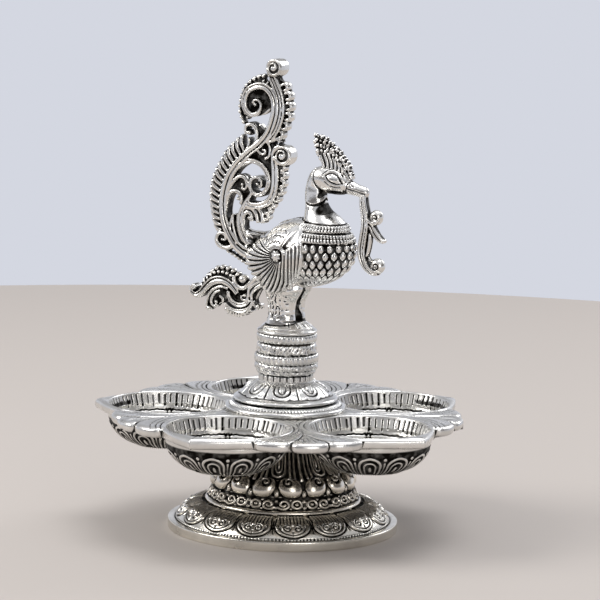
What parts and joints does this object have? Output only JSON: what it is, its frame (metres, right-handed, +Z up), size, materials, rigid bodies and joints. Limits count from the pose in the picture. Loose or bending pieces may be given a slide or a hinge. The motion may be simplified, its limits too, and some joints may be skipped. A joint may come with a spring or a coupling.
{
  "type": "footed oil lamp tray",
  "caption": "Cast silver-finish footed oil lamp tray: petal-edged plate with oil cups around a ringed stem, topped by a crested bird with openwork scroll tail that unscrews.",
  "frame": {"origin": "on the stem's axis, in the plane of the base rim's underside", "axes": "+Z up along the stem, +X the way the bird faces, one oil cup towards -Y"},
  "size_m": [0.1284, 0.1298, 0.1635],
  "materials": {
    "antique_silver": "polished cast white metal, oxidised black in the recesses",
    "tie_steel": "plain machined",
    "washer_fibre": "dark matte fibre"
  },
  "bodies": {
    "stand": {"pedestal_foot": "antique_silver", "pedestal_bell": "antique_silver", "tray_plate": "antique_silver", "oil_cup_1": "antique_silver", "oil_cup_2": "antique_silver", "oil_cup_3": "antique_silver", "oil_cup_4": "antique_silver", "oil_cup_5": "antique_silver", "collar_disc": "antique_silver", "lotus_collar": "antique_silver", "stem_lower": "antique_silver", "tie_stud": "tie_steel", "tie_washer": "tie_steel", "tie_nut": "tie_steel"},
    "seat": {"seat_washer": "washer_fibre"},
    "bird": {"bird_plinth": "antique_silver", "bird_leg_left": "antique_silver", "bird_leg_right": "antique_silver", "bird_body": "antique_silver", "bird_wing_left": "antique_silver", "bird_wing_right": "antique_silver", "head_crest": "antique_silver", "tail_plume_upper": "antique_silver", "tail_plume_lower": "antique_silver", "beak_sprig": "antique_silver"}
  },
  "joints": [
    {"name": "bird_rise", "type": "slide", "parent": "stand", "child": "seat", "axis": [0, 0, 1], "range_m": [0, 0.0045]},
    {"name": "bird_unscrew", "type": "hinge", "parent": "seat", "child": "bird", "pos_m": [0, 0, 0.0659], "axis": [0, 0, 1], "range_deg": [0, 1620]}
  ],
  "couplings": [
    {"joint": "bird_rise", "follows": "bird_unscrew", "m_per_rad": 0.00015915}
  ]
}
